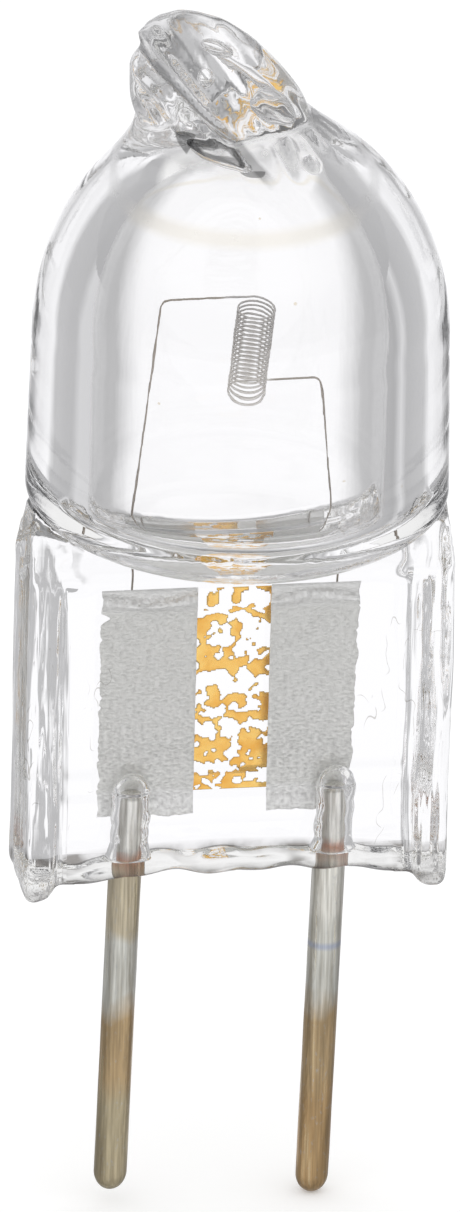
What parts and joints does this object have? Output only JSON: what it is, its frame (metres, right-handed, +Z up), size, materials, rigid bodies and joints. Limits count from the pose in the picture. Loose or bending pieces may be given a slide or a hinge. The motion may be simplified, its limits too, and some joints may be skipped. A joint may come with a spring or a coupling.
{
  "type": "halogen capsule bulb",
  "caption": "Clear quartz halogen capsule bulb with a bare bi-pin base, upright coiled filament and flat foil pinch seal",
  "frame": {"origin": "midway between the two contact pins, on the plane where they leave the foot of the pinch seal", "axes": "+Z up the lamp's axis to the exhaust tip, +X across the two pins towards the right pin, +Y through the thickness of the pinch to the back"},
  "size_m": [0.0082, 0.0082, 0.0246],
  "materials": {
    "quartz_glass": "clear fused quartz, fire polished",
    "tungsten_wire": "drawn tungsten wire, dull grey",
    "molybdenum_foil": "rolled molybdenum foil, pale satin grey, crinkled",
    "contact_pin": "drawn plated pin, heat-tinted tan near its end"
  },
  "bodies": {
    "root": {"glass_envelope": "quartz_glass", "exhaust_tip": "quartz_glass", "filament": "tungsten_wire", "left_foil": "molybdenum_foil", "right_foil": "molybdenum_foil", "left_pin": "contact_pin", "right_pin": "contact_pin"}
  },
  "joints": []
}
